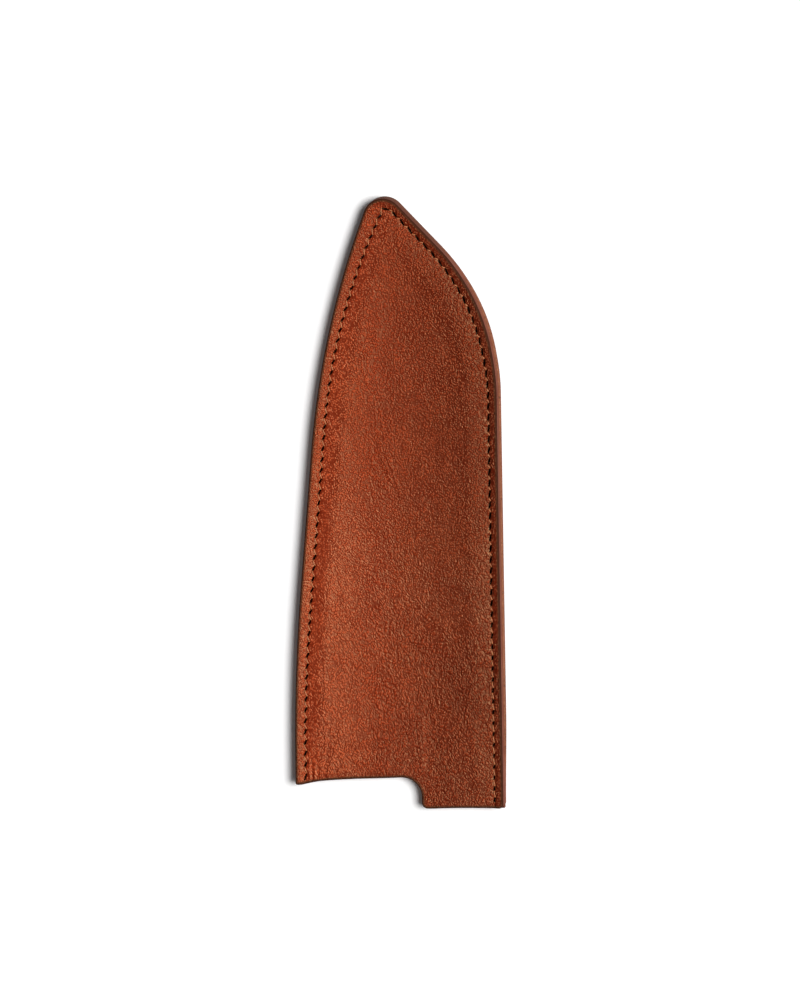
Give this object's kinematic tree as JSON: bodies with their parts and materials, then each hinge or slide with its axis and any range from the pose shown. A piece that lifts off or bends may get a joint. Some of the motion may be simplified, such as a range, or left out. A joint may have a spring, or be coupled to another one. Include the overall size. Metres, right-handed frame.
{
  "type": "knife blade guard",
  "caption": "Flat brown leather sheath for a kitchen knife: two stitched panels over welts, a pointed curved tip and a mouth cut back beside the spine.",
  "frame": {"origin": "middle of the bounding box at its bottom, on the surface that the back panel lies on", "axes": "+Y from the mouth to the tip, +X from the spine side to the cutting edge's side, +Z out of the front panel"},
  "size_m": [0.0666, 0.1937, 0.0056],
  "materials": {
    "leather": "waxed full grain, satin",
    "welt_leather": "cut and burnished edge",
    "thread": "waxed thread, matt"
  },
  "bodies": {
    "root": {"back_panel": "leather", "front_panel": "leather", "spine_welt": "welt_leather", "edge_welt": "welt_leather", "first_thread": "thread", "second_thread": "thread"}
  },
  "joints": []
}
